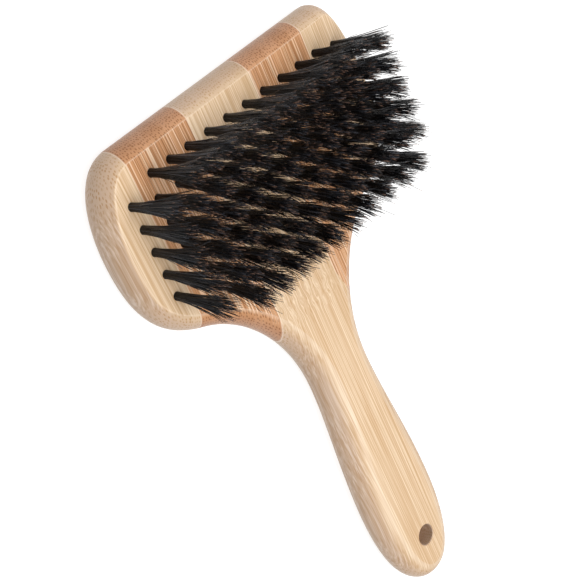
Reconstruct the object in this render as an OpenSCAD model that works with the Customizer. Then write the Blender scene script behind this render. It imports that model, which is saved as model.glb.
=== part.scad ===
// Paddle brush: a laminated bamboo board with tufts of bristle set in drilled holes.
// The board lies on its back, bristles up. +Y points to the wide end, and the handle runs to -Y.

/* [Board] */
// Length of the board over head and handle
board_len = 187; // [177:1:197]
// Thickness of the board
board_t = 13; // [11:0.5:16]
// Width of the head at its widest
head_w = 109; // [100:1:120]
// Width of the neck at its narrowest
neck_w = 22.2; // [20:0.2:26]
// Width of the grip at its widest
grip_w = 29.8; // [26:0.2:34]
// How far the wide end rises from its middle to its right corner, being cut a little out of square
end_slant = 1.1; // [0:0.1:1.5]
// How far from the side the right corner of the wide end starts
right_corner = 10; // [10:0.5:12]
// How far from the side the left corner of the wide end starts
left_corner = 15.5; // [14:0.5:16]

/* [Rounded edge] */
// How far the rounded edge reaches in over each face at the sides of the head
side_edge_inset = 3.2; // [3:0.1:4]
// How far the rounded edge reaches in over each face at the wide end
end_edge_inset = 4.4; // [4:0.1:5]
// How far the rounded edge reaches in over each face at the shoulders
shoulder_edge_inset = 5; // [4:0.1:5.5]
// How far the rounded edge reaches in over each face of the handle
handle_edge_inset = 5.6; // [4.5:0.1:5.8]

/* [Hanging hole] */
// Diameter of the hole through the handle
hang_hole_d = 7; // [5:0.5:9]
// Distance from the handle's end to the hole's centre
hang_hole_from_end = 17; // [14:1:24]

/* [Glue joints] */
// Joint between the left edge strip and the left caramel strip
joint_1 = -40.4; // [-41.5:0.1:-39.5]
// Joint between the left caramel strip and the centre strip
joint_2 = -16.6; // [-17.5:0.1:-15.5]
// Joint between the centre strip and the right caramel strip
joint_3 = 9.7; // [9:0.1:10.3]
// Joint between the right caramel strip and the right edge strip
joint_4 = 34; // [33.5:0.1:34.3]

/* [Tufts] */
// Distance between two tufts of a row
tuft_pitch = 8; // [7.6:0.1:8.2]
// Distance between the first two rows of tufts, near enough
row_pitch = 6.65; // [6.5:0.05:6.8]
// How the rows draw apart towards the handle, for each row squared
row_growth = 0.16; // [0.1:0.02:0.18]
// Distance from the middle of the wide end to the first row
first_row = 10.9; // [9:0.1:13]
// How far the last row is shifted to the right, the rows before it following by less and less
last_row_shift = 5.2; // [5:0.1:5.3]
// How far the first row is drawn in for each column left of the fourth
first_row_squeeze = 0.8; // [0:0.1:0.9]
// Distance of the outer columns from the middle
outer_column = 44.4; // [43:0.1:46]
// How far the left outer column starts below the first row
left_column_drop = 4.4; // [3:0.1:5]
// How far the right outer column starts below the first row
right_column_drop = 1.3; // [1:0.1:4]
// Distance between two tufts of an outer column
outer_pitch = 6.9; // [6.4:0.1:7.4]
// Free height of the bristle above the board
bristle_h = 20; // [15:0.5:25]
// Diameter of a tuft hole
tuft_hole_d = 2.6; // [2.2:0.1:3]
// Depth of a tuft hole
tuft_hole_depth = 7; // [5:0.5:9]
// Diameter of a tuft at its tips
tuft_tip_d = 5.4; // [4:0.1:5.6]

/* [Anchors] */
// Thickness of an anchor's metal
anchor_t = 0.4; // [0.3:0.05:0.6]
// Height of an anchor
anchor_h = 2; // [1.5:0.1:2.5]
// How far each end of an anchor bites into the wood
anchor_bite = 0.2; // [0.1:0.05:0.4]

/* [Hidden] */
STRIPS = ["strip_left_edge", "strip_left_caramel", "strip_centre", "strip_right_caramel", "strip_right_edge"];
COLUMNS = 12;

PALE = [0.89, 0.75, 0.56];
CARAMEL = [0.78, 0.56, 0.36];
BRISTLE = [0.08, 0.08, 0.09];
METAL = [0.75, 0.73, 0.70];

wide_end = board_len / 2;
end_line = wide_end - end_slant;
handle_end = -board_len / 2;
head_half = head_w / 2;
neck_half = neck_w / 2;
grip_half = grip_w / 2;

// Stations of the outline, given by how far they lie from the middle of the wide end.
widest_at = end_line - 29;
shoulder_at = [head_half - 16.5, end_line - 58];
shoulder_angle = 23;
shoulder_dir = [-cos(shoulder_angle), -sin(shoulder_angle)];
neck_at = end_line - 100.5;
grip_at = end_line - 153.5;
flare_from = end_line - 70;
flare_to = [joint_3 + 4.2, end_line - 86];

// Half outline as cubic Bezier pieces, from the straight wide end to the end of the handle. A corner
// starts at its own distance from the side.
function end_flat(corner) = head_half - corner;
function half_outline(corner) = [
    [
        [end_flat(corner), end_line], [end_flat(corner) + 0.68 * corner, end_line],
        [head_half, widest_at + 15], [head_half, widest_at]
    ],
    [[head_half, widest_at], [head_half, widest_at - 18], shoulder_at - 12 * shoulder_dir, shoulder_at],
    [shoulder_at, shoulder_at + 14.5 * shoulder_dir, [neck_half, neck_at + 21], [neck_half, neck_at]],
    [[neck_half, neck_at], [neck_half, neck_at - 15], [grip_half, grip_at + 20], [grip_half, grip_at]],
    [[grip_half, grip_at], [grip_half, grip_at - 16], [11.5, handle_end], [0, handle_end]]
];
piece_steps = 12;

function bezier(p, t) =
    pow(1 - t, 3) * p[0] + 3 * t * pow(1 - t, 2) * p[1] + 3 * t * t * (1 - t) * p[2] + pow(t, 3) * p[3];
function bezier_slope(p, t) =
    pow(1 - t, 2) * (p[1] - p[0]) + 2 * t * (1 - t) * (p[2] - p[1]) + t * t * (p[3] - p[2]);
// Outward normal of a curve that runs clockwise on the right-hand side.
function outward(d) = [-d[1], d[0]] / norm(d);

// Goes smoothly from 0, for t below 0, to 1, for t above 1.
function eased(t) = let (u = min(1, max(0, t))) u * u * (3 - 2 * u);

// The wide end's slant fades out down the board.
slant_fade = 60;
function slanted(p) =
    let (rise = end_slant * p[0] / end_flat(right_corner))
    [p[0], p[1] + rise * eased((p[1] - end_line + slant_fade) / slant_fade)];

// Each entry is [point, outward normal], down one side. A hand of 1 is the right side and -1 the left.
function side_points(corner, hand) = [
    for (p = half_outline(corner))
        for (i = [0:piece_steps - 1])
            let (point = bezier(p, i / piece_steps))
            let (normal = outward(bezier_slope(p, i / piece_steps)))
            [slanted([hand * point[0], point[1]]), [hand * normal[0], normal[1]]]
];
right_side = side_points(right_corner, 1);
left_side = side_points(left_corner, -1);
outline = concat(
    right_side,
    [[[0, handle_end], [0, -1]]],
    [for (i = [len(left_side) - 1:-1:0]) left_side[i]]
);

// The edge is one arc from face to face, deeper on the handle than on the head.
edge_bands = 8;
half_t = board_t / 2;
cut_over = 0.5;
deepest_inset = half_t - 0.8;

// Each stretch is [distance from the middle of the wide end where it starts, its length].
shoulder_stretch = [40, 18];
handle_stretch = [62, 38];
function along(stretch, y) = eased((end_line - stretch[0] - y) / stretch[1]);
function edge_inset(o) =
    let (head = side_edge_inset + (end_edge_inset - side_edge_inset) * pow(max(0, o[1][1]), 2))
    let (shoulder = (shoulder_edge_inset - side_edge_inset) * along(shoulder_stretch, o[0][1]))
    let (handle = (handle_edge_inset - shoulder_edge_inset) * along(handle_stretch, o[0][1]))
    min(deepest_inset, head + shoulder + handle);
function edge_r(o) =
    let (inset = edge_inset(o))
    (half_t * half_t + inset * inset) / (2 * inset);

function moved(o, by) = o[0] + by * o[1];
function edge_ring(k) = [
    for (o = outline)
        let (r = edge_r(o))
        let (a = asin((half_t + cut_over) / max(r, half_t + cut_over)) * (2 * k / edge_bands - 1))
        let (p = moved(o, -r * (1 - cos(a))))
        [p[0], p[1], half_t + r * sin(a)]
];
function flat_ring(by, z) = [for (o = outline) let (p = moved(o, by)) [p[0], p[1], z]];

// Everything outside the rounded edge, as a closed ring round the board.
module outside() {
    n = len(outline);
    rings = concat(
        [for (k = [0:edge_bands]) edge_ring(k)],
        [flat_ring(3, board_t + 2), flat_ring(3, -2)]
    );
    m = len(rings);
    points = [for (ring = rings) each ring];
    faces = [
        for (k = [0:m - 1])
            for (i = [0:n - 1])
                let (j = (i + 1) % n, up = (k + 1) % m)
                each [
                    [k * n + i, up * n + i, up * n + j],
                    [k * n + i, up * n + j, k * n + j]
                ]
    ];
    polyhedron(points = points, faces = faces, convexity = 8);
}

// Column 1 is the left outer column, columns 2 to 11 are the ten inner ones, and 12 the right outer one.
inner_rows = 6;
outer_tufts = 5;
row_one = end_line - first_row;
last_row = inner_rows - 1;

function row_y(r) = row_one - row_pitch * r - row_growth * r * r;
function row_shift(r) = last_row_shift * pow(r / last_row, 3);
function squeeze(column, r) = r == 0 ? first_row_squeeze * max(0, 4 - column) : 0;
function outer_bases(x, drop) = [for (k = [0:outer_tufts - 1]) [x, row_one - drop - k * outer_pitch]];
function tuft_bases(column) =
    column == 1 ? outer_bases(-outer_column, left_column_drop)
    : column == COLUMNS ? outer_bases(outer_column, right_column_drop)
    : [
        for (r = [0:last_row])
            [(column - 6.5) * tuft_pitch + row_shift(r) + squeeze(column, r), row_y(r)]
    ];

// The tufts lean towards the handle, and to the right with their distance from the middle, the right
// half more than the left.
field_mid = (row_one + row_y(last_row)) / 2;
lean_x = 0.015;
lean_out = 0.045;
fan_y = 0.07;
fan_back = 3.1;

function tip_shift(base) =
    [lean_x * base[0] + lean_out * abs(base[0]), fan_y * (base[1] - field_mid) - fan_back];

tuft_r = tuft_hole_d / 2 - 0.05;
knuckle_r = tuft_r - 0.1;
throat_r = tuft_r - 0.3;
hole_floor = board_t - tuft_hole_depth;
anchor_z = hole_floor + 1;

module tuft_hole(base) {
    translate([base[0], base[1], hole_floor])
        cylinder(h = tuft_hole_depth + 1, d = tuft_hole_d, $fn = 32);
}

module anchor(base) {
    translate([base[0] - tuft_hole_d / 2 - anchor_bite, base[1] - anchor_t / 2, anchor_z])
        cube([tuft_hole_d + 2 * anchor_bite, anchor_t, anchor_h]);
}

// One folded tuft: its root fills the hole round the anchor, and its free end leans and widens.
// The bend at the hole's mouth is a small ball, centred on both axes.
module tuft(base) {
    lean = tip_shift(base);
    reach = norm([lean[0], lean[1], bristle_h]);
    tilt = acos(bristle_h / reach);
    bearing = atan2(lean[1], lean[0]);
    difference() {
        union() {
            translate([base[0], base[1], hole_floor])
                cylinder(h = tuft_hole_depth, r = tuft_r, $fn = 32);
            translate([base[0], base[1], board_t])
                sphere(r = knuckle_r, $fn = 32);
            translate([base[0], base[1], board_t])
                rotate([0, tilt, bearing])
                    cylinder(h = reach, r1 = throat_r, r2 = tuft_tip_d / 2, $fn = 32);
        }
        anchor(base);
    }
}

// A strip is the board's outline between two glue joints, given by a plan, then rounded and drilled.
module strip(plan, from_x, to_x, tint) {
    reach = tuft_hole_d / 2 + anchor_bite;
    color(tint)
        difference() {
            linear_extrude(board_t)
                intersection() {
                    polygon([for (o = outline) moved(o, 1)]);
                    polygon(plan);
                }
            outside();
            for (column = [1:COLUMNS]) {
                for (base = tuft_bases(column)) {
                    if (base[0] > from_x - reach && base[0] < to_x + reach) {
                        tuft_hole(base);
                        anchor(base);
                    }
                }
            }
            if (from_x < 0 && to_x > 0)
                translate([0, handle_end + hang_hole_from_end, -1])
                    cylinder(h = board_t + 2, d = hang_hole_d, $fn = 64);
        }
}

far_side = head_half + 2;
beyond_top = wide_end + 2;
beyond_bottom = handle_end - 2;
function slab(from_x, to_x) =
    [[from_x, beyond_top], [to_x, beyond_top], [to_x, beyond_bottom], [from_x, beyond_bottom]];

// The centre strip is the whole handle: below the head its right joint flares out to the board's edge.
centre_plan = [
    [joint_2, beyond_top], [joint_3, beyond_top], [joint_3, flare_from], flare_to,
    [far_side, flare_to[1]], [far_side, beyond_bottom], [joint_2, beyond_bottom]
];
right_caramel_plan = [
    [joint_3, beyond_top], [joint_4, beyond_top], [joint_4, flare_to[1]], flare_to, [joint_3, flare_from]
];

module strip_left_edge() strip(slab(-far_side, joint_1), -far_side, joint_1, PALE);
module strip_left_caramel() strip(slab(joint_1, joint_2), joint_1, joint_2, CARAMEL);
module strip_centre() strip(centre_plan, joint_2, joint_3, PALE);
module strip_right_caramel() strip(right_caramel_plan, joint_3, joint_4, CARAMEL);
module strip_right_edge() strip(slab(joint_4, far_side), joint_4, far_side, PALE);

module tufts(column) {
    color(BRISTLE)
        for (base = tuft_bases(column)) tuft(base);
}

module anchors(column) {
    color(METAL)
        for (base = tuft_bases(column)) anchor(base);
}

function two_digits(n) = n < 10 ? str("0", n) : str(n);

strip_left_edge();
strip_left_caramel();
strip_centre();
strip_right_caramel();
strip_right_edge();
for (column = [1:COLUMNS]) {
    tufts(column);
    anchors(column);
}
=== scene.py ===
"""Looks of a paddle brush: five glued bamboo strips, drilled, with black bristle tufts.

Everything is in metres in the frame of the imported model: the back of the board lies on Z = 0,
+Y points to the wide end of the head and the bristles stand up along +Z.
"""

import math

import bpy
import numpy as np
from mathutils import Matrix


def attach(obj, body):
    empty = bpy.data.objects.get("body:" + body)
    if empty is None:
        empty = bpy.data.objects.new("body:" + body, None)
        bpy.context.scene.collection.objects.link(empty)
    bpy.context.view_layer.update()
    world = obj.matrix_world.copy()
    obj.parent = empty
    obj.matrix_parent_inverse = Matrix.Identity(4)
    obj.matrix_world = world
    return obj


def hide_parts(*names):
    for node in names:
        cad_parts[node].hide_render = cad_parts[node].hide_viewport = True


bl_info = {
    "name": "Paddle brush",
    "version": (1, 0, 0),
    "blender": (4, 5, 0),
    "location": "3D View > Sidebar > Brush",
    "description": "Bamboo strips, bristle tufts and a studio for a paddle brush",
    "category": "Object",
}

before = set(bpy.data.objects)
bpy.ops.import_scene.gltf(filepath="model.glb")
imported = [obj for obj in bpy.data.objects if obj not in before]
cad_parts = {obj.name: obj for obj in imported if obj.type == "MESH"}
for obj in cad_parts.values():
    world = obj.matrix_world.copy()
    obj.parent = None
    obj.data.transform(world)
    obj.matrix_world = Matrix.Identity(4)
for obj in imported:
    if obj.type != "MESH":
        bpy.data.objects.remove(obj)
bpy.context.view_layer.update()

MM = 0.001
ROOT = "root"
STRIP_NODES = (
    "strip_left_edge", "strip_left_caramel", "strip_centre", "strip_right_caramel", "strip_right_edge",
)
JOINTS_X = (-40.4, -16.6, 9.7, 34.0)
RIGHT_CORNER = 10.0
LEFT_CORNER = 15.5
# The right joint of the centre strip flares from the first depth below the wide end to the second.
FLARE_DEPTHS = (70, 86)
FLARE_OUT = 4.2
COLUMNS = 12
MIDDLE_COLUMN = 6.5
INNER_ROWS = 6
FIRST_ROW_DEPTH = 10.9
FIRST_ROW_SQUEEZE = 0.8
ROW_DRIFT = 5.2
OUTER_TUFTS = 5
OUTER_X = 44.4
OUTER_PITCH = 6.9
LEFT_DROP = 4.4
RIGHT_DROP = 1.3
LEAN_X = 0.015
LEAN_OUT = 0.045
FAN_Y = 0.07
FAN_BACK = 3.1
OUTLINE_STEPS = 36
ARC_STEPS = 7
CREASE_STEPS = 4
STRAND_SIDES = 3
LOCKS = 13
STRAND_STATIONS = 9
# Turning each bristle by this angle, in radians, spreads them evenly over the hole.
GOLDEN_ANGLE = 2.39996
# Clear rim between the bristles' feet and the wall of the hole.
FOOT_RIM = 0.16
# A joint or knuckle at this distance is off the board.
NOWHERE = 500.0
LENS_MM = 71.398366
LIGHT_AIM = (0, 0.0, 0.01)


# ---------------------------------------------------------------- settings


class BrushBoardSettings(bpy.types.PropertyGroup):
    """Sizes of the board."""

    length: bpy.props.FloatProperty(
        name="Length", description="Board over head and handle", default=0.187, unit="LENGTH")
    end_slant: bpy.props.FloatProperty(
        name="End slant", description="How far the wide end rises from its middle to the right corner",
        default=0.0011, unit="LENGTH")
    thickness: bpy.props.FloatProperty(
        name="Thickness", description="Thickness of the board", default=0.013, unit="LENGTH")
    head_width: bpy.props.FloatProperty(
        name="Head width", description="Head at its widest", default=0.109, unit="LENGTH")
    neck_width: bpy.props.FloatProperty(
        name="Neck width", description="Neck at its narrowest", default=0.0222, unit="LENGTH")
    grip_width: bpy.props.FloatProperty(
        name="Grip width", description="Grip at its widest", default=0.0298, unit="LENGTH")
    side_inset: bpy.props.FloatProperty(
        name="Side edge", description="Reach of the rounded edge over the face at the head's sides",
        default=0.0032, unit="LENGTH")
    end_inset: bpy.props.FloatProperty(
        name="End edge", description="Reach of the rounded edge over the face at the wide end",
        default=0.0044, unit="LENGTH")
    shoulder_inset: bpy.props.FloatProperty(
        name="Shoulder edge", description="Reach of the rounded edge over the face at the shoulders",
        default=0.005, unit="LENGTH")
    handle_inset: bpy.props.FloatProperty(
        name="Handle edge", description="Reach of the rounded edge over the face of the handle",
        default=0.0056, unit="LENGTH")
    crease_radius: bpy.props.FloatProperty(
        name="Crease radius", description="Sanded radius where a face meets the rounded edge",
        default=0.0012, unit="LENGTH")
    hang_hole: bpy.props.FloatProperty(
        name="Hanging hole", description="Diameter of the hole in the handle", default=0.007, unit="LENGTH")
    hang_from_end: bpy.props.FloatProperty(
        name="Hole from end", description="Handle's end to the middle of the hanging hole",
        default=0.017, unit="LENGTH")


class BrushBristleSettings(bpy.types.PropertyGroup):
    """Layout and character of the tufts."""

    tuft_pitch: bpy.props.FloatProperty(
        name="Tuft pitch", description="Between two tufts of a row", default=0.008, unit="LENGTH")
    row_pitch: bpy.props.FloatProperty(
        name="Row pitch", description="Between the first two rows", default=0.00665, unit="LENGTH")
    row_growth: bpy.props.FloatProperty(
        name="Row growth", description="Added to a row's distance for each row squared",
        default=0.00016, unit="LENGTH")
    hole: bpy.props.FloatProperty(
        name="Tuft hole", description="Diameter of a tuft hole", default=0.0026, unit="LENGTH")
    hole_depth: bpy.props.FloatProperty(
        name="Hole depth", description="Depth of a tuft hole", default=0.007, unit="LENGTH")
    height: bpy.props.FloatProperty(
        name="Free height", description="Bristle above the board", default=0.0203, unit="LENGTH")
    spread: bpy.props.FloatProperty(
        name="Spread", description="Radius of a tuft at its tips", default=0.0032, unit="LENGTH")
    strands: bpy.props.IntProperty(
        name="Bristles a tuft", description="Bristles in each tuft", default=150)
    strand_radius: bpy.props.FloatProperty(
        name="Bristle radius", description="Radius of one bristle at its foot", default=0.00013,
        unit="LENGTH")


class BrushFinishSettings(bpy.types.PropertyGroup):
    """Colours of the materials."""

    pale: bpy.props.FloatVectorProperty(
        name="Pale bamboo", description="Body of a pale strip", subtype="COLOR", size=3,
        default=(0.71, 0.51, 0.325))
    pale_fibre: bpy.props.FloatVectorProperty(
        name="Pale fibre", description="Fibre bundles of a pale strip", subtype="COLOR", size=3,
        default=(0.56, 0.33, 0.155))
    caramel: bpy.props.FloatVectorProperty(
        name="Caramel bamboo", description="Body of a caramel strip", subtype="COLOR", size=3,
        default=(0.60, 0.305, 0.145))
    caramel_fibre: bpy.props.FloatVectorProperty(
        name="Caramel fibre", description="Fibre bundles of a caramel strip", subtype="COLOR", size=3,
        default=(0.36, 0.155, 0.062))
    bristle: bpy.props.FloatVectorProperty(
        name="Bristle", description="Most of the bristles", subtype="COLOR", size=3,
        default=(0.0035, 0.0035, 0.0045))
    # Painted highlight: this blue-grey base colour on a share of the bristles stands in for the cold
    # highlight streaks on them.
    bristle_highlight_grey: bpy.props.FloatVectorProperty(
        name="Painted highlight bristle", description="The bristles that catch a blue-grey light", subtype="COLOR", size=3,
        default=(0.070, 0.076, 0.094))
    bristle_brown: bpy.props.FloatVectorProperty(
        name="Brown bristle", description="The few bristles that are dark brown", subtype="COLOR", size=3,
        default=(0.33, 0.19, 0.135))
    metal: bpy.props.FloatVectorProperty(
        name="Anchor metal", description="Flat wire of the anchors", subtype="COLOR", size=3,
        default=(0.62, 0.60, 0.57))


# ---------------------------------------------------------------- outline and edge


def smooth_step(t):
    """3t^2 - 2t^3 with t held between 0 and 1."""
    t = np.clip(t, 0.0, 1.0)
    return t * t * (3.0 - 2.0 * t)


def end_line(board):
    """Y of the middle of the wide end, from which the places along the board are measured, in mm."""
    return (board.length / 2 - board.end_slant) / MM


def half_pieces(board, corner):
    """The five cubic Bezier pieces of a half, from the wide end down to the handle's end, in mm.

    The wide end is straight until a corner's reach from the side.
    """
    top = end_line(board)
    head = board.head_width / MM / 2
    neck = board.neck_width / MM / 2
    grip = board.grip_width / MM / 2
    flat_to = head - corner
    bottom = -board.length / MM / 2
    widest = top - 29
    neck_at = top - 100.5
    grip_at = top - 153.5
    turn = math.radians(23)
    shoulder = np.array([head - 16.5, top - 58])
    way = np.array([-math.cos(turn), -math.sin(turn)])
    return np.array([
        [(flat_to, top), (flat_to + 0.68 * corner, top), (head, widest + 15), (head, widest)],
        [(head, widest), (head, widest - 18), tuple(shoulder - 12 * way), tuple(shoulder)],
        [tuple(shoulder), tuple(shoulder + 14.5 * way), (neck, neck_at + 21), (neck, neck_at)],
        [(neck, neck_at), (neck, neck_at - 15), (grip, grip_at + 20), (grip, grip_at)],
        [(grip, grip_at), (grip, grip_at - 16), (11.5, bottom), (0.0, bottom)],
    ])


def board_outline(board):
    """Points and outward normals round the board, clockwise from the wide end, in mm.

    Each piece is (1-t)^3 A + 3t(1-t)^2 B + 3t^2(1-t) C + t^3 D, and its normal is the slope turned
    a quarter. The left half is mirrored in X. The slant then lifts y by slant x / flat, fading out
    60 mm down the board.
    """
    t = (np.arange(OUTLINE_STEPS) / OUTLINE_STEPS)[None, :, None]
    halves = []
    for corner in (RIGHT_CORNER, LEFT_CORNER):
        pieces = half_pieces(board, corner)
        a, b, c, d = (pieces[:, None, k, :] for k in range(4))
        point = (1 - t) ** 3 * a + 3 * t * (1 - t) ** 2 * b + 3 * t * t * (1 - t) * c + t ** 3 * d
        slope = (1 - t) ** 2 * (b - a) + 2 * t * (1 - t) * (c - b) + t * t * (d - c)
        normal = np.stack([-slope[..., 1], slope[..., 0]], 2).reshape(-1, 2)
        halves.append((point.reshape(-1, 2), normal / np.linalg.norm(normal, axis=1)[:, None]))
    (right, right_normal), (left, left_normal) = halves
    tip = np.array([[0.0, -board.length / MM / 2]])
    mirror = np.array([-1.0, 1.0])
    points = np.concatenate([right, tip, left[::-1] * mirror])
    normals = np.concatenate([right_normal, np.array([[0.0, -1.0]]), left_normal[::-1] * mirror])
    flat = board.head_width / MM / 2 - RIGHT_CORNER
    rise = board.end_slant / MM * points[:, 0] / flat
    points[:, 1] += rise * smooth_step((points[:, 1] - end_line(board) + 60) / 60)
    return points, normals


def edge_insets(board, points, normals):
    """How far the rounded edge reaches in over the face at each outline point, in mm.

    side + (end - side) n_y^2 on the wide end, then eased by smooth steps to the shoulder's and the
    handle's values.
    """
    top = end_line(board)
    side, end = board.side_inset / MM, board.end_inset / MM
    shoulder, handle = board.shoulder_inset / MM, board.handle_inset / MM
    y = points[:, 1]
    inset = side + (end - side) * np.clip(normals[:, 1], 0, 1) ** 2
    inset = inset + (shoulder - side) * smooth_step((top - 40 - y) / 18)
    return inset + (handle - shoulder) * smooth_step((top - 62 - y) / 38)


def edge_profile(inset, half, crease):
    """Offsets inwards and heights from mid-thickness of the edge, for each inset, as (rings, points).

    The normal turns from level to upright: up to angle q on a radius p + crease, then on the crease
    radius. p = ((half-crease)^2 + (inset-crease)^2) / (2 (inset-crease)) and sin q = (half-crease) / p.
    """
    h, i = half - crease, inset - crease
    p = (h * h + i * i) / (2 * i)
    q = np.arcsin(h / p)
    arc = np.linspace(0, 1, ARC_STEPS + 1)[:, None] * q
    bend = q + (np.pi / 2 - q) * (np.arange(1, CREASE_STEPS + 1) / CREASE_STEPS)[:, None]
    wide = p + crease
    offset = np.concatenate([wide * (1 - np.cos(arc)),
                             wide * (1 - np.cos(q)) + crease * (np.cos(q) - np.cos(bend))])
    height = np.concatenate([wide * np.sin(arc), wide * np.sin(q) + crease * (np.sin(bend) - np.sin(q))])
    return offset, height


def ring_quads(rings, count, closed=False):
    """Quads between neighbouring rings of count points each, as an array of vertex numbers."""
    last = rings if closed else rings - 1
    k, i = np.meshgrid(np.arange(last), np.arange(count), indexing="ij")
    up, j = (k + 1) % rings, (i + 1) % count
    return np.stack([k * count + i, k * count + j, up * count + j, up * count + i], 2).reshape(-1, 4)


def new_mesh(name, vertices, faces, unit=MM):
    """A mesh from arrays of vertices, in mm, and a list of faces."""
    mesh = bpy.data.meshes.new(name)
    mesh.from_pydata((np.asarray(vertices, float) * unit).tolist(), [], [list(map(int, f)) for f in faces])
    mesh.validate()
    mesh.update()
    return mesh


def new_object(name, mesh):
    """An object at the origin, in the scene."""
    made = bpy.data.objects.new(name, mesh)
    bpy.context.scene.collection.objects.link(made)
    return made


def board_mesh(board):
    """The whole board: the edge profile carried round the outline, closed above and below by a flat face."""
    points, normals = board_outline(board)
    half = board.thickness / MM / 2
    offset, height = edge_profile(edge_insets(board, points, normals), half, board.crease_radius / MM)
    offset = np.concatenate([offset[::-1], offset[1:]])
    height = np.concatenate([-height[::-1], height[1:]])
    plan = points[None] - offset[..., None] * normals[None]
    ring = np.concatenate([plan, (half + height)[..., None]], 2)
    rings, count = ring.shape[:2]
    quads = ring_quads(rings, count)[:, ::-1]
    bottom = np.arange(count)
    top = (rings - 1) * count + np.arange(count)[::-1]
    return new_mesh("board", ring.reshape(-1, 3), list(quads) + [bottom, top])


def prism_mesh(name, plan, low, high):
    """A plan of points going round clockwise, carried straight up from low to high."""
    plan = np.asarray(plan, float)
    count = len(plan)
    ring = np.stack([np.column_stack([plan, np.full(count, z)]) for z in (low, high)])
    quads = ring_quads(2, count)[:, ::-1]
    caps = [np.arange(count), count + np.arange(count)[::-1]]
    return new_mesh(name, ring.reshape(-1, 3), list(quads) + caps)


def turned_mesh(name, centres, profile, sides):
    """A profile of (radius, height) turned about an upright axis at each centre, closed above and below."""
    angle = np.arange(sides) / sides * 2 * np.pi
    circle = np.stack([np.cos(angle), np.sin(angle)], 1)
    profile = np.asarray(profile, float)
    xy = centres[:, None, None, :] + profile[None, :, None, :1] * circle[None, None]
    z = np.broadcast_to(profile[None, :, None, 1:], xy.shape[:3] + (1,))
    vertices = np.concatenate([xy, z], 3)
    rings = len(profile)
    quads = ring_quads(rings, sides)
    caps = [np.arange(sides)[::-1], (rings - 1) * sides + np.arange(sides)]
    faces = []
    for k in range(len(centres)):
        start = k * rings * sides
        faces += list(quads + start) + [caps[0] + start, caps[1] + start]
    return new_mesh(name, vertices.reshape(-1, 3), faces)


def strip_plans(board):
    """The plan of each strip, going round clockwise, in mm.

    Strips are slabs between the glue joints. The centre strip is the whole handle: at the neck its
    right joint flares out to the board's edge, and the right caramel strip ends there.
    """
    top = end_line(board)
    above, below, far = top + 4, -top - 4, board.head_width / MM / 2 + 2
    a, b, c, d = JOINTS_X
    flare_from, flare_to = (c, top - FLARE_DEPTHS[0]), (c + FLARE_OUT, top - FLARE_DEPTHS[1])

    def slab(x0, x1):
        return [(x0, above), (x1, above), (x1, below), (x0, below)]

    centre = [(b, above), (c, above), flare_from, flare_to, (far, flare_to[1]), (far, below), (b, below)]
    right = [(c, above), (d, above), (d, flare_to[1]), flare_to, flare_from]
    return dict(zip(STRIP_NODES, (slab(-far, a), slab(a, b), centre, right, slab(d, far))))


# ---------------------------------------------------------------- tufts


def tuft_bases(board, bristle, column):
    """Middles of a column's tuft holes, in mm, as (tufts, 2).

    Inner column c has x = (c - middle) pitch + drift (r/last)^3, y = first row - row pitch r - growth r^2,
    and the first row is drawn in by the squeeze for each column left of the fourth.
    The outer columns run straight down, a little below the first row.
    """
    row_one = end_line(board) - FIRST_ROW_DEPTH
    if column in (1, COLUMNS):
        k = np.arange(OUTER_TUFTS)
        side, drop = (-1, LEFT_DROP) if column == 1 else (1, RIGHT_DROP)
        return np.stack([np.full(OUTER_TUFTS, side * OUTER_X), row_one - drop - OUTER_PITCH * k], 1)
    r = np.arange(INNER_ROWS)
    x = (column - MIDDLE_COLUMN) * bristle.tuft_pitch / MM + ROW_DRIFT * (r / (INNER_ROWS - 1)) ** 3
    x = x + np.where(r == 0, FIRST_ROW_SQUEEZE * max(0, 4 - column), 0.0)
    y = row_one - bristle.row_pitch / MM * r - bristle.row_growth / MM * r * r
    return np.stack([x, y], 1)


def tuft_leans(board, bristle, bases):
    """How far each tuft's tips stand off from its hole, in mm.

    Sideways it is lean x + lean out |x|, and along the board fan (y - middle) - fan back.
    """
    row_one = end_line(board) - FIRST_ROW_DEPTH
    last = INNER_ROWS - 1
    middle = row_one - (bristle.row_pitch / MM * last + bristle.row_growth / MM * last * last) / 2
    sideways = LEAN_X * bases[:, 0] + LEAN_OUT * np.abs(bases[:, 0])
    return np.stack([sideways, FAN_Y * (bases[:, 1] - middle) - FAN_BACK], 1)


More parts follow.
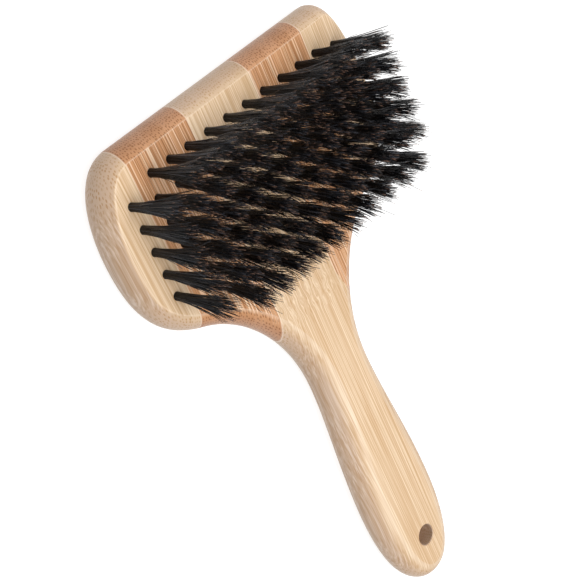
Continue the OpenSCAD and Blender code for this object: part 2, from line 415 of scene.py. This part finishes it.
def strand_paths(board, bristle, column):
    """Centre lines of a column's bristles, as (strands, stations, 3) in mm, and their heights as 0 to 1.

    A bristle starts at r0 in its hole, r0 being spread evenly over the disc, and stands straight to the
    mouth. Above it, with s from 0 to 1, it lies at base + r0 (1 + widening s^1.55) + lean s^1.15
    + curl s^2 + sway sin(2 pi (s + phase)) s, at height s times its own length. Bristles of one of
    the tuft's locks, every thirteenth of them, share a part of the curl and of the length.
    """
    dice = np.random.default_rng(4100 + column)
    bases = tuft_bases(board, bristle, column)
    leans = tuft_leans(board, bristle, bases)
    count, tufts = bristle.strands, len(bases)
    total = count * tufts
    k = np.tile(np.arange(count) + 0.5, tufts)
    radius = np.sqrt(k / count)
    angle = k * GOLDEN_ANGLE + np.repeat(dice.uniform(0, 6.28, tufts), count)
    bundle = bristle.hole / MM / 2 - FOOT_RIM
    inner = bundle * radius
    foot = np.stack([inner * np.cos(angle), inner * np.sin(angle)], 1)
    widening = bristle.spread / MM / bundle - 1
    own_wide = dice.normal(1.0, 0.22, total)
    lock = np.repeat(np.arange(tufts), count) * LOCKS + np.tile(np.arange(count) % LOCKS, tufts)
    lock_curl = dice.normal(0, 0.42, (tufts * LOCKS, 2))
    lock_length = 1 - np.abs(dice.normal(0, 0.055, tufts * LOCKS))
    curl = dice.normal(0, 0.34, (total, 2))
    wild = dice.random(total) < 0.03
    curl[wild] *= 5.0
    curl = curl + lock_curl[lock]
    sway = dice.normal(0, 0.10, (total, 2))
    phase = dice.random(total)
    length = bristle.height / MM * (1 - np.abs(dice.normal(0, 0.05, total)) - 0.02 * radius ** 2)
    length = length * lock_length[lock]
    short = dice.random(total) < 0.08
    length[short] *= dice.uniform(0.45, 0.92, short.sum())
    length = length * np.repeat(dice.uniform(0.965, 1.0, tufts), count)
    s = np.concatenate([[0.0], np.linspace(0, 1, STRAND_STATIONS - 1)])
    s = s[None, :, None]
    out = foot[:, None] * (1 + widening * own_wide[:, None, None] * s ** 1.55)
    out = out + np.repeat(leans, count, 0)[:, None] * s ** 1.15 + curl[:, None] * s * s
    out = out + sway[:, None] * np.sin(2 * np.pi * (s * 1.4 + phase[:, None, None])) * s
    xy = np.repeat(bases, count, 0)[:, None] + out
    z = board.thickness / MM + s[..., 0] * length[:, None]
    z[:, 0] = board.thickness / MM - 0.55 * bristle.hole_depth / MM
    return np.concatenate([xy, z[..., None]], 2), np.broadcast_to(s[..., 0], z.shape), dice


def strand_mesh(name, board, bristle, column):
    """Thin three-sided tubes along the bristles' centre lines, tapered and closed to a point at the tip.

    The section at each station is the centre + r(s) (cos a U + sin a V), U and V being at right angles to
    the bristle, and r(s) = r0 (1 - 0.45 s). Each bristle's tone, 0 to 1, is kept as an attribute.
    """
    path, s, dice = strand_paths(board, bristle, column)
    total, stations = path.shape[:2]
    run = np.gradient(path, axis=1)
    run /= np.linalg.norm(run, axis=2)[..., None]
    side = np.cross(run, np.array([0.31, 0.95, 0.05]))
    side /= np.linalg.norm(side, axis=2)[..., None]
    across = np.cross(run, side)
    angle = np.arange(STRAND_SIDES) / STRAND_SIDES * 2 * np.pi
    radius = bristle.strand_radius / MM * (1 - 0.45 * s) * dice.normal(1, 0.12, total)[:, None]
    ring = path[:, :, None] + radius[..., None, None] * (
        np.cos(angle)[None, None, :, None] * side[:, :, None]
        + np.sin(angle)[None, None, :, None] * across[:, :, None])
    tip = path[:, -1:] + run[:, -1:] * 0.12
    vertices = np.concatenate([ring.reshape(total, -1, 3), tip], 1)
    each = stations * STRAND_SIDES + 1
    quads = ring_quads(stations, STRAND_SIDES)
    top = (stations - 1) * STRAND_SIDES
    a = top + np.arange(STRAND_SIDES)
    b = top + (np.arange(STRAND_SIDES) + 1) % STRAND_SIDES
    tips = np.stack([a, b, np.full(STRAND_SIDES, each - 1)], 1)
    foot = np.arange(STRAND_SIDES)[::-1][None]
    start = (np.arange(total) * each)[:, None, None]
    loops = [(quads[None] + start).reshape(-1, 4), (tips[None] + start).reshape(-1, 3),
             (foot[None] + start).reshape(-1, 3)]
    sizes = np.concatenate([np.full(len(part), part.shape[1]) for part in loops])
    mesh = bpy.data.meshes.new(name)
    mesh.vertices.add(total * each)
    mesh.vertices.foreach_set("co", (vertices.reshape(-1) * MM).astype(np.float32))
    corners = np.concatenate([part.reshape(-1) for part in loops]).astype(np.int32)
    mesh.loops.add(len(corners))
    mesh.loops.foreach_set("vertex_index", corners)
    mesh.polygons.add(len(sizes))
    mesh.polygons.foreach_set("loop_start", np.concatenate([[0], np.cumsum(sizes)[:-1]]).astype(np.int32))
    mesh.polygons.foreach_set("use_smooth", np.ones(len(sizes), bool))
    mesh.update(calc_edges=True)
    tone = np.repeat(dice.random(total), each).astype(np.float32)
    height = np.concatenate([np.repeat(s, STRAND_SIDES, 1), np.ones((total, 1))], 1).reshape(-1)
    for label, values in (("tone", tone), ("height", height.astype(np.float32))):
        mesh.attributes.new(label, "FLOAT", "POINT").data.foreach_set("value", values)
    return mesh


# ---------------------------------------------------------------- shader helpers


class Graph:
    """Adds nodes to a node tree, and links what it is given into their sockets."""

    def __init__(self, tree):
        self.tree = tree

    def put(self, socket, value):
        if isinstance(value, bpy.types.NodeSocket):
            self.tree.links.new(value, socket)
        elif value is not None:
            socket.default_value = value

    def node(self, kind, inputs=(), **settings):
        made = self.tree.nodes.new(kind)
        for key, value in settings.items():
            setattr(made, key, value)
        for key, value in dict(inputs).items():
            self.put(made.inputs[key], value)
        return made

    def math(self, operation, a, b=None, c=None, clamp=False):
        made = self.node("ShaderNodeMath", operation=operation, use_clamp=clamp)
        for socket, value in zip(made.inputs, (a, b, c)):
            self.put(socket, value)
        return made.outputs[0]

    def vector(self, operation, a, b=None, scale=None):
        made = self.node("ShaderNodeVectorMath", operation=operation)
        self.put(made.inputs[0], a)
        self.put(made.inputs[1], b)
        if scale is not None:
            self.put(made.inputs["Scale"], scale)
        return made.outputs[0]

    def ramp(self, value, low, high, to_low=0.0, to_high=1.0, smooth=True):
        made = self.node("ShaderNodeMapRange", interpolation_type="SMOOTHSTEP" if smooth else "LINEAR")
        for key, part in (("Value", value), ("From Min", low), ("From Max", high),
                          ("To Min", to_low), ("To Max", to_high)):
            self.put(made.inputs[key], part)
        return made.outputs[0]

    def noise(self, vector, scale, detail=2.0, rough=0.5):
        return self.node("ShaderNodeTexNoise", {"Vector": vector, "Scale": scale, "Detail": detail,
                                                "Roughness": rough})

    def mix(self, factor, a, b, blend="MIX"):
        made = self.node("ShaderNodeMix", data_type="RGBA", blend_type=blend)
        self.put(made.inputs[0], factor)
        self.put(made.inputs[6], a)
        self.put(made.inputs[7], b)
        return made.outputs[2]


def group_with(name, inputs, outputs):
    """A shader node group with those sockets, its input node and its output node."""
    group = bpy.data.node_groups.new(name, "ShaderNodeTree")
    for label, kind, value in inputs:
        socket = group.interface.new_socket(label, in_out="INPUT", socket_type="NodeSocket" + kind)
        if value is not None:
            socket.default_value = value
    for label, kind in outputs:
        group.interface.new_socket(label, in_out="OUTPUT", socket_type="NodeSocket" + kind)
    return group, group.nodes.new("NodeGroupInput"), group.nodes.new("NodeGroupOutput")


def bamboo_group():
    """Bamboo as a solid: fibre bundles run along Y, and are points of a lattice in X and Z.

    A face along the grain cuts them into lines and dashes, and an end cuts them into dots.
    """
    found = bpy.data.node_groups.get("bamboo_solid")
    if found:
        return found
    group, given, result = group_with(
        "bamboo_solid",
        [("Vector", "Vector", None), ("Body", "Color", (0.7, 0.5, 0.3, 1)),
         ("Fibre", "Color", (0.5, 0.3, 0.1, 1)),
         ("Seed", "Float", 0.0), ("Slat width", "Float", 6.0), ("Bundle pitch", "Float", 0.85),
         ("Fibre strength", "Float", 0.8), ("Line strength", "Float", 0.3), ("Knuckle Y", "Float", 500.0),
         ("Left joint", "Float", -500.0), ("Right joint", "Float", 500.0),
         ("Painted edge shade", "Color", (0.9, 0.88, 0.88, 1))],
        [("Color", "Color"), ("Roughness", "Float"), ("Height", "Float")])
    g = Graph(group)
    i = given.outputs
    mm = g.vector("SCALE", i["Vector"], scale=1000.0)
    shift = g.node("ShaderNodeCombineXYZ", {"X": g.math("MULTIPLY", i["Seed"], 17.3), "Y": 0.0,
                                            "Z": g.math("MULTIPLY", i["Seed"], 9.1)}).outputs[0]
    own = g.vector("ADD", mm, shift)
    # Fibres wander a little along the strip, and lose their way at a knuckle.
    slow = g.noise(g.vector("MULTIPLY", own, (0.05, 0.011, 0.05)), 1.0, 1.0).outputs["Color"]
    slow = g.vector("SCALE", g.vector("SUBTRACT", slow, (0.5, 0.5, 0.5)), scale=2.6)
    y = g.node("ShaderNodeSeparateXYZ", {"Vector": mm}).outputs["Y"]
    edge = g.noise(g.vector("MULTIPLY", own, (0.22, 0.0, 0.22)), 1.0, 1.0).outputs["Fac"]
    off = g.math("ABSOLUTE", g.math("SUBTRACT", g.math("SUBTRACT", y, i["Knuckle Y"]),
                                    g.math("MULTIPLY", g.math("SUBTRACT", edge, 0.5), 9.0)))
    knuckle = g.ramp(off, 1.0, 9.0, 1.0, 0.0)
    turmoil = g.noise(g.vector("MULTIPLY", own, (0.55, 0.16, 0.55)), 1.0, 2.0).outputs["Color"]
    turmoil = g.vector("SCALE", g.vector("SUBTRACT", turmoil, (0.5, 0.5, 0.5)),
                       scale=g.math("MULTIPLY", knuckle, 3.2))
    at = g.vector("ADD", g.vector("ADD", own, slow), turmoil)
    x = g.node("ShaderNodeSeparateXYZ", {"Vector": at}).outputs["X"]
    # Each slat has its own tone, and denser fibre towards its skin side.
    slat = g.math("DIVIDE", x, i["Slat width"])
    tone = g.node("ShaderNodeTexWhiteNoise", {"W": g.math("FLOOR", slat)}, noise_dimensions="1D")
    tone = tone.outputs["Value"]
    across = g.math("FRACT", slat)
    dense = g.ramp(across, 0.0, 0.95, 0.50, 1.0)
    z = g.node("ShaderNodeSeparateXYZ", {"Vector": at}).outputs["Z"]
    lattice = g.node("ShaderNodeCombineXYZ", {"X": x, "Y": z, "Z": 0.0}).outputs[0]
    cells = g.node("ShaderNodeTexVoronoi", {
        "Vector": lattice, "Scale": g.math("DIVIDE", 1.0, i["Bundle pitch"]), "Randomness": 0.55},
        voronoi_dimensions="2D")
    apart = cells.outputs["Distance"]
    chance = g.node("ShaderNodeSeparateColor", {"Color": cells.outputs["Color"]}).outputs[0]
    reach = g.math("MULTIPLY_ADD", chance, 0.12, 0.24)
    bundle = g.ramp(apart, g.math("MULTIPLY", reach, 0.6), reach, 1.0, 0.0)
    bundle = g.math("MULTIPLY", bundle, dense)
    fine = g.noise(g.vector("MULTIPLY", at, (2.5, 0.014, 0.7)), 1.0, 2.0, 0.7).outputs["Fac"]
    # Lines show on a surface along the grain, and hardly on an end.
    facing = g.node("ShaderNodeSeparateXYZ", {"Vector": g.node("ShaderNodeNewGeometry").outputs["Normal"]})
    flat = g.math("ABSOLUTE", facing.outputs["Z"])
    along = g.ramp(g.math("ABSOLUTE", facing.outputs["Y"]), 0.16, 0.42, 1.0, 0.10)
    light = g.math("MULTIPLY", g.ramp(fine, 0.53, 0.60), along)
    dark = g.math("MULTIPLY", g.ramp(fine, 0.47, 0.40), along)
    fine = g.math("SUBTRACT", fine, 0.5)
    dash = g.node("ShaderNodeTexVoronoi", {
        "Vector": g.vector("MULTIPLY", at, (1.9, 0.13, 1.9)), "Scale": 1.0, "Randomness": 1.0})
    dash = dash.outputs["Distance"]
    dash = g.ramp(dash, 0.06, 0.24, 1.0, 0.0)
    cloud = g.noise(g.vector("MULTIPLY", own, (0.045, 0.03, 0.045)), 1.0, 2.0).outputs["Fac"]
    # A dot on an end is darker than the line that its bundle makes on a face.
    depth = g.math("MULTIPLY", i["Fibre strength"], g.math("MULTIPLY_ADD", along, -0.95, 1.95))
    body = g.mix(g.math("MULTIPLY", bundle, depth, clamp=True), i["Body"], i["Fibre"])
    body = g.mix(g.math("MULTIPLY", g.math("MULTIPLY", dash, dense), 0.30), body, i["Fibre"])
    body = g.mix(g.math("MULTIPLY", dark, i["Line strength"], clamp=True), body, i["Fibre"])
    body = g.mix(g.math("MULTIPLY", light, i["Line strength"], clamp=True), body, (0.95, 0.78, 0.57, 1))
    level = g.math("MULTIPLY_ADD", g.math("MULTIPLY", fine, along), i["Line strength"], 1.0)
    level = g.math("MULTIPLY", level, g.math("MULTIPLY_ADD", g.math("SUBTRACT", tone, 0.5), 0.11, 1.0))
    level = g.math("MULTIPLY", level, g.math("MULTIPLY_ADD", g.math("SUBTRACT", cloud, 0.5), 0.16, 1.0))
    grey = g.node("ShaderNodeCombineColor", {0: level, 1: g.math("POWER", level, 1.5),
                                             2: g.math("POWER", level, 2.3)}).outputs[0]
    body = g.mix(1.0, body, grey, "MULTIPLY")
    # Painted shade: where the surface turns away from the face, on the rounded edge and the ends, the colour
    # is multiplied by the shade tint and looks darker and greyer.
    body = g.mix(g.ramp(flat, 0.60, 0.985, 1.0, 0.0), body, g.mix(1.0, body, i["Painted edge shade"], "MULTIPLY"))
    # Painted highlight: a light band is painted along the crease where the face meets the rounded edge, and a
    # glue joint shows as a fine light line.
    crease = g.math("MULTIPLY", g.ramp(flat, 0.88, 0.95), g.ramp(flat, 0.9995, 0.985))
    true_x = g.node("ShaderNodeSeparateXYZ", {"Vector": mm}).outputs["X"]
    near = g.math("MINIMUM", g.math("ABSOLUTE", g.math("SUBTRACT", true_x, i["Left joint"])),
                  g.math("ABSOLUTE", g.math("SUBTRACT", true_x, i["Right joint"])))
    crease_highlight_and_joint_line = g.math("MAXIMUM", g.math("MULTIPLY", crease, 0.20), g.ramp(near, 0.08, 0.26, 0.38, 0.0))
    body = g.mix(crease_highlight_and_joint_line, body, (1.0, 0.88, 0.74, 1))
    g.put(result.inputs["Color"], body)
    satin = g.math("MULTIPLY_ADD", fine, 0.10, 0.48)
    g.put(result.inputs["Roughness"], g.math("MULTIPLY_ADD", bundle, 0.08, satin))
    ridges = g.math("MULTIPLY", g.math("MULTIPLY", fine, along), 0.6)
    g.put(result.inputs["Height"], g.math("MULTIPLY_ADD", bundle, -0.35, ridges))
    return group


def new_material(name):
    """An empty material with its Principled shader, and a graph to build in."""
    material = bpy.data.materials.new(name)
    material.use_nodes = True
    shader = material.node_tree.nodes["Principled BSDF"]
    return material, shader, Graph(material.node_tree)


def bamboo_material(name, body, fibre, seed, strength, lines, knuckle_y, joints, slat=5.2, pitch=0.80,
                    painted_edge_shade=(0.84, 0.83, 0.91, 1)):
    """One strip's bamboo, sanded and lacquered satin, with a painted shade tint on its rounded edge and ends.
    """
    material, shader, g = new_material(name)
    where = g.node("ShaderNodeTexCoord").outputs["Object"]
    wood = g.node("ShaderNodeGroup", node_tree=bamboo_group())
    for key, value in (("Vector", where), ("Body", (*body, 1)), ("Fibre", (*fibre, 1)), ("Seed", seed),
                       ("Slat width", slat), ("Bundle pitch", pitch), ("Fibre strength", strength),
                       ("Line strength", lines), ("Knuckle Y", knuckle_y), ("Painted edge shade", painted_edge_shade),
                       ("Left joint", joints[0]), ("Right joint", joints[1])):
        g.put(wood.inputs[key], value)
    bump = g.node("ShaderNodeBump", {"Height": wood.outputs["Height"], "Strength": 0.25, "Distance": 0.00008})
    g.put(shader.inputs["Base Color"], wood.outputs["Color"])
    g.put(shader.inputs["Roughness"], wood.outputs["Roughness"])
    g.put(shader.inputs["Normal"], bump.outputs[0])
    shader.inputs["Specular IOR Level"].default_value = 0.30
    shader.inputs["Coat Weight"].default_value = 0.12
    shader.inputs["Coat Roughness"].default_value = 0.25
    shader.inputs["Sheen Weight"].default_value = 0.25
    shader.inputs["Sheen Roughness"].default_value = 0.30
    return material


def bristle_material(finish):
    """Black bristle, with a few brown ones and slightly paler tips, and a share painted blue-grey to stand in
    for their highlights.
    """
    material, shader, g = new_material("bristle")
    tone = g.node("ShaderNodeAttribute", attribute_name="tone").outputs["Fac"]
    height = g.node("ShaderNodeAttribute", attribute_name="height").outputs["Fac"]
    brown = g.math("MULTIPLY", g.ramp(tone, 0.70, 1.0), g.ramp(height, 0.90, 1.0, 0.0, 1.0))
    # Painted highlight: bristles of low tone get the blue-grey colour in place of a highlight.
    grey = g.ramp(tone, 0.22, 0.05)
    colour = g.mix(grey, (*finish.bristle, 1), (*finish.bristle_highlight_grey, 1))
    colour = g.mix(brown, colour, (*finish.bristle_brown, 1))
    where = g.node("ShaderNodeTexCoord").outputs["Object"]
    streak = g.noise(g.vector("MULTIPLY", where, (900.0, 900.0, 120.0)), 1.0, 2.0).outputs["Fac"]
    g.put(shader.inputs["Base Color"], colour)
    g.put(shader.inputs["Roughness"], g.ramp(streak, 0.2, 0.8, 0.24, 0.42))
    shader.inputs["Specular IOR Level"].default_value = 0.5
    return material


def anchor_material(finish):
    """Flat steel wire with drawn lines along it."""
    material, shader, g = new_material("anchor_metal")
    where = g.node("ShaderNodeTexCoord").outputs["Object"]
    drawn = g.noise(g.vector("MULTIPLY", where, (400.0, 9000.0, 9000.0)), 1.0, 2.0).outputs["Fac"]
    shade = g.ramp(drawn, 0.2, 0.8, 0.75, 1.0, smooth=False)
    tint = g.node("ShaderNodeCombineColor", {0: shade, 1: shade, 2: shade}).outputs[0]
    g.put(shader.inputs["Base Color"], g.mix(1.0, (*finish.metal, 1), tint, "MULTIPLY"))
    g.put(shader.inputs["Roughness"], g.ramp(drawn, 0.2, 0.8, 0.28, 0.45))
    g.put(shader.inputs["Normal"], g.node("ShaderNodeBump", {"Height": drawn, "Strength": 0.2,
                                                             "Distance": 0.00002}).outputs[0])
    shader.inputs["Metallic"].default_value = 1.0
    return material


# ---------------------------------------------------------------- pieces


def cut(target, tool, operation):
    """The mesh left by an exact Boolean of target with tool."""
    step = target.modifiers.new("cut", "BOOLEAN")
    step.operation = operation
    step.solver = "EXACT"
    step.object = tool
    done = bpy.data.meshes.new_from_object(target.evaluated_get(bpy.context.evaluated_depsgraph_get()))
    target.modifiers.clear()
    target.data = done
    return done


def shade_strip(mesh):
    """The flat faces stay flat, the rounded edge is smooth, and rims and joints are sharp."""
    normals = np.empty(len(mesh.polygons) * 3, np.float32)
    mesh.polygons.foreach_get("normal", normals)
    level = np.abs(normals.reshape(-1, 3)[:, 2]) > 0.9999
    mesh.polygons.foreach_set("use_smooth", ~level)
    mesh.set_sharp_from_angle(angle=math.radians(24))


def finish_settings():
    """The three groups of settings on the scene."""
    scene = bpy.context.scene
    return scene.brush_board, scene.brush_bristle, scene.brush_finish


class BRUSH_OT_strips(bpy.types.Operator):
    """Cuts the rounded and drilled board into its five bamboo strips"""

    bl_idname = "brush.strips"
    bl_label = "Bamboo strips"

    def execute(self, context):
        board, bristle, finish = finish_settings()
        whole = new_object("board_blank", board_mesh(board))
        top = board.thickness / MM
        bases = np.concatenate([tuft_bases(board, bristle, c) for c in range(1, COLUMNS + 1)])
        hole, floor = bristle.hole / MM / 2, top - bristle.hole_depth / MM
        drill = new_object("drill", turned_mesh("drill", bases, [(hole, floor), (hole, top + 1)], 28))
        r = board.hang_hole / MM / 2
        hang_y = -board.length / MM / 2 + board.hang_from_end / MM
        lip = [(r + 1.25, -1.0), (r, 0.25), (r, top - 0.25), (r + 1.25, top + 1.0)]
        hang = new_object("hang_drill", turned_mesh("hang_drill", np.array([[0.0, hang_y]]), lip, 72))
        pale, caramel = tuple(finish.pale), tuple(finish.caramel)
        pale_fibre, caramel_fibre = tuple(finish.pale_fibre), tuple(finish.caramel_fibre)
        a, b, c, d = JOINTS_X
        # Body and fibre colours, seed, strength of fibres and of lines, the knuckle's Y, and both joints.
        woods = {
            "strip_left_edge": (pale, pale_fibre, 1.0, 0.60, 0.36, NOWHERE, (-NOWHERE, a)),
            "strip_left_caramel": (caramel, caramel_fibre, 2.0, 0.95, 0.50, NOWHERE, (a, b)),
            "strip_centre": (pale, pale_fibre, 3.0, 0.50, 0.36, 22.0, (b, c)),
            "strip_right_caramel": (caramel, caramel_fibre, 4.0, 0.90, 0.50, NOWHERE, (c, d)),
            "strip_right_edge": (pale, pale_fibre, 5.0, 0.55, 0.36, NOWHERE, (d, NOWHERE)),
        }
        for node, plan in strip_plans(board).items():
            piece = new_object("wood_" + node, whole.data.copy())
            slab = new_object("slab", prism_mesh("slab", plan, -1, top + 1))
            cut(piece, slab, "INTERSECT")
            cut(piece, drill, "DIFFERENCE")
            if node == "strip_centre":
                cut(piece, hang, "DIFFERENCE")
            if len(piece.data.polygons) < 50:
                raise RuntimeError(node + " came out empty")
            shade_strip(piece.data)
            body, fibre, seed, strength, lines, knuckle, joints = woods[node]
            piece.data.materials.clear()
            piece.data.materials.append(
                bamboo_material("bamboo_" + node, body, fibre, seed, strength, lines, knuckle, joints))
            bpy.data.objects.remove(slab)
            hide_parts(node)
            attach(piece, ROOT)
        for spare in (whole, drill, hang):
            bpy.data.objects.remove(spare)
        return {"FINISHED"}


class BRUSH_OT_bristles(bpy.types.Operator):
    """Plants the bristles, one piece for each column of tufts"""

    bl_idname = "brush.bristles"
    bl_label = "Bristle tufts"

    def execute(self, context):
        board, bristle, finish = finish_settings()
        black = bristle_material(finish)
        for column in range(1, COLUMNS + 1):
            name = f"bristles_{column:02d}"
            piece = new_object(name, strand_mesh(name, board, bristle, column))
            if not piece.data.polygons:
                raise RuntimeError(name + " has no bristles")
            piece.data.materials.append(black)
            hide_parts(f"tufts_{column:02d}")
            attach(piece, ROOT)
        return {"FINISHED"}


class BRUSH_OT_anchors(bpy.types.Operator):
    """Gives the flat anchors in the holes their metal"""

    bl_idname = "brush.anchors"
    bl_label = "Anchors"

    def execute(self, context):
        finish = finish_settings()[2]
        metal = anchor_material(finish)
        for column in range(1, COLUMNS + 1):
            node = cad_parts[f"anchors_{column:02d}"]
            node.data.materials.clear()
            node.data.materials.append(metal)
        return {"FINISHED"}


def soft_light(name, at, aim, size, power, colour=(1, 1, 1)):
    """A square area light at a place, turned towards a point."""
    light = bpy.data.lights.new(name, "AREA")
    light.size = size
    light.energy = power
    light.color = colour
    lamp = new_object(name, light)
    way = np.array(aim, float) - np.array(at, float)
    way /= np.linalg.norm(way)
    side = np.cross(way, (0.0, 0.0, 1.0))
    side /= np.linalg.norm(side)
    up = np.cross(side, way)
    lamp.matrix_world = Matrix(np.vstack([np.column_stack([side, up, -way, at]), [0, 0, 0, 1]]).tolist())
    return lamp


class BRUSH_OT_stage(bpy.types.Operator):
    """Lays the pale floor and sets the soft light and the camera"""

    bl_idname = "brush.stage"
    bl_label = "Stage"

    def execute(self, context):
        scene = context.scene
        floor = new_object("floor", new_mesh("floor", [(-3, -3, 0), (3, -3, 0), (3, 3, 0), (-3, 3, 0)],
                                             [(0, 1, 2, 3)], unit=1.0))
        material, shader, g = new_material("floor")
        where = g.node("ShaderNodeTexCoord").outputs["Object"]
        speck = g.noise(where, 300.0).outputs["Fac"]
        tint = g.ramp(speck, 0.3, 0.7, 0.33, 0.35)
        g.put(shader.inputs["Base Color"],
              g.node("ShaderNodeCombineColor", {0: tint, 1: tint, 2: tint}).outputs[0])
        shader.inputs["Roughness"].default_value = 0.9
        shader.inputs["Specular IOR Level"].default_value = 0.1
        shader.inputs["Emission Color"].default_value = (1, 1, 1, 1)
        # The floor looks white, and lights the board from below by less than it shows.
        bounce = g.node("ShaderNodeLightPath").outputs["Is Diffuse Ray"]
        g.put(shader.inputs["Emission Strength"], g.math("MULTIPLY_ADD", bounce, -0.50, 0.86))
        floor.data.materials.append(material)
        world = bpy.data.worlds.new("studio")
        world.use_nodes = True
        world.node_tree.nodes["Background"].inputs["Color"].default_value = (1, 1, 1, 1)
        world.node_tree.nodes["Background"].inputs["Strength"].default_value = 0.30
        scene.world = world
        soft_light("key", (-0.12, -0.02, 0.9), LIGHT_AIM, 0.6, 8.0, (1.0, 0.99, 0.975))
        soft_light("fill", (0.5, 0.5, 0.5), LIGHT_AIM, 0.5, 1.0)
        camera = new_object("camera", bpy.data.cameras.new("camera"))
        camera.data.sensor_width = 36.0
        camera.data.lens = LENS_MM
        camera.data.clip_start = 0.01
        camera.matrix_world = Matrix((
            (0.61483709, 0.55674273, -0.55858114, -0.19648152),
            (-0.38181281, 0.8298657, 0.40686841, 0.16427666),
            (0.69006836, -0.03688435, 0.72280371, 0.25556913),
            (0.0, 0.0, 0.0, 1.0)))
        scene.camera = camera
        scene.view_settings.view_transform = "Standard"
        return {"FINISHED"}


class BRUSH_PT_panel(bpy.types.Panel):
    """Lists the pieces of the brush, in the order in which they are made"""

    bl_idname = "BRUSH_PT_panel"
    bl_label = "Paddle brush"
    bl_space_type = "VIEW_3D"
    bl_region_type = "UI"
    bl_category = "Brush"

    def draw(self, context):
        scene = context.scene
        for made in PIECES:
            self.layout.operator(made.bl_idname)
        for title, group in (("Board", scene.brush_board), ("Bristle", scene.brush_bristle),
                             ("Finish", scene.brush_finish)):
            box = self.layout.box()
            box.label(text=title)
            for key in group.__annotations__:
                box.prop(group, key)


PIECES = (BRUSH_OT_strips, BRUSH_OT_bristles, BRUSH_OT_anchors, BRUSH_OT_stage)
SETTINGS = (BrushBoardSettings, BrushBristleSettings, BrushFinishSettings)


def register():
    """Registers the settings, the operators and the panel."""
    for made in (*SETTINGS, *PIECES, BRUSH_PT_panel):
        bpy.utils.register_class(made)
    bpy.types.Scene.brush_board = bpy.props.PointerProperty(type=BrushBoardSettings)
    bpy.types.Scene.brush_bristle = bpy.props.PointerProperty(type=BrushBristleSettings)
    bpy.types.Scene.brush_finish = bpy.props.PointerProperty(type=BrushFinishSettings)


def unregister():
    """Takes back everything that register added."""
    del bpy.types.Scene.brush_finish
    del bpy.types.Scene.brush_bristle
    del bpy.types.Scene.brush_board
    for made in reversed((*SETTINGS, *PIECES, BRUSH_PT_panel)):
        bpy.utils.unregister_class(made)


def main():
    register()
    bpy.ops.brush.strips()
    bpy.ops.brush.bristles()
    bpy.ops.brush.anchors()
    bpy.ops.brush.stage()


if __name__ == "__main__":
    main()
